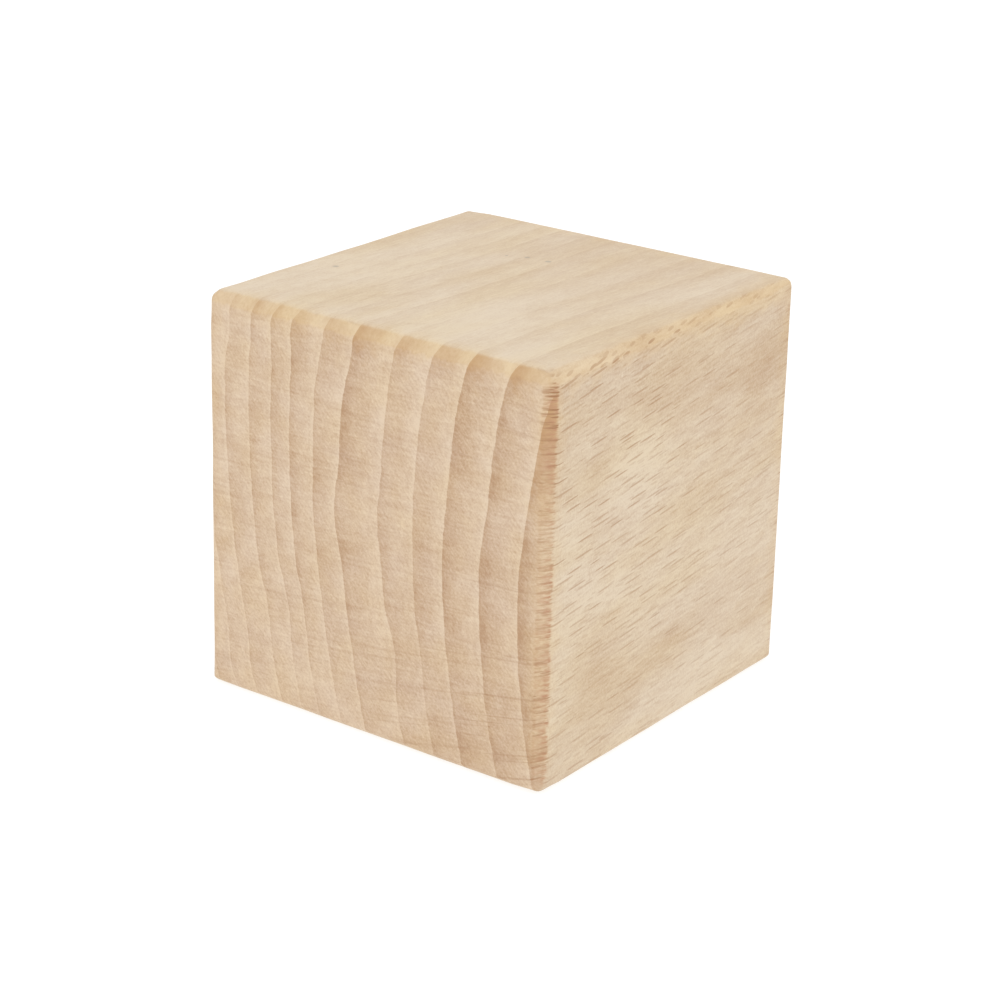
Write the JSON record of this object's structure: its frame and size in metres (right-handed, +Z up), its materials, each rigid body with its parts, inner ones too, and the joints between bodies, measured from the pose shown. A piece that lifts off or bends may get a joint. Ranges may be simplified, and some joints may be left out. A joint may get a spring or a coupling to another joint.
{
  "type": "wooden cube",
  "caption": "Solid cube of pale beech with flat 45 degree chamfers on all its edges, for use as a block, spacer, riser or craft blank.",
  "frame": {"origin": "centre of the face that the cube stands on", "axes": "+Z up; +Y along the grain, so the end-grain faces look along -Y and +Y; +X across the growth rings"},
  "size_m": [0.05, 0.05, 0.05],
  "materials": {
    "beech": "sanded bare beech, no varnish or oil"
  },
  "bodies": {
    "root": {"wooden_cube": "beech"}
  },
  "joints": []
}
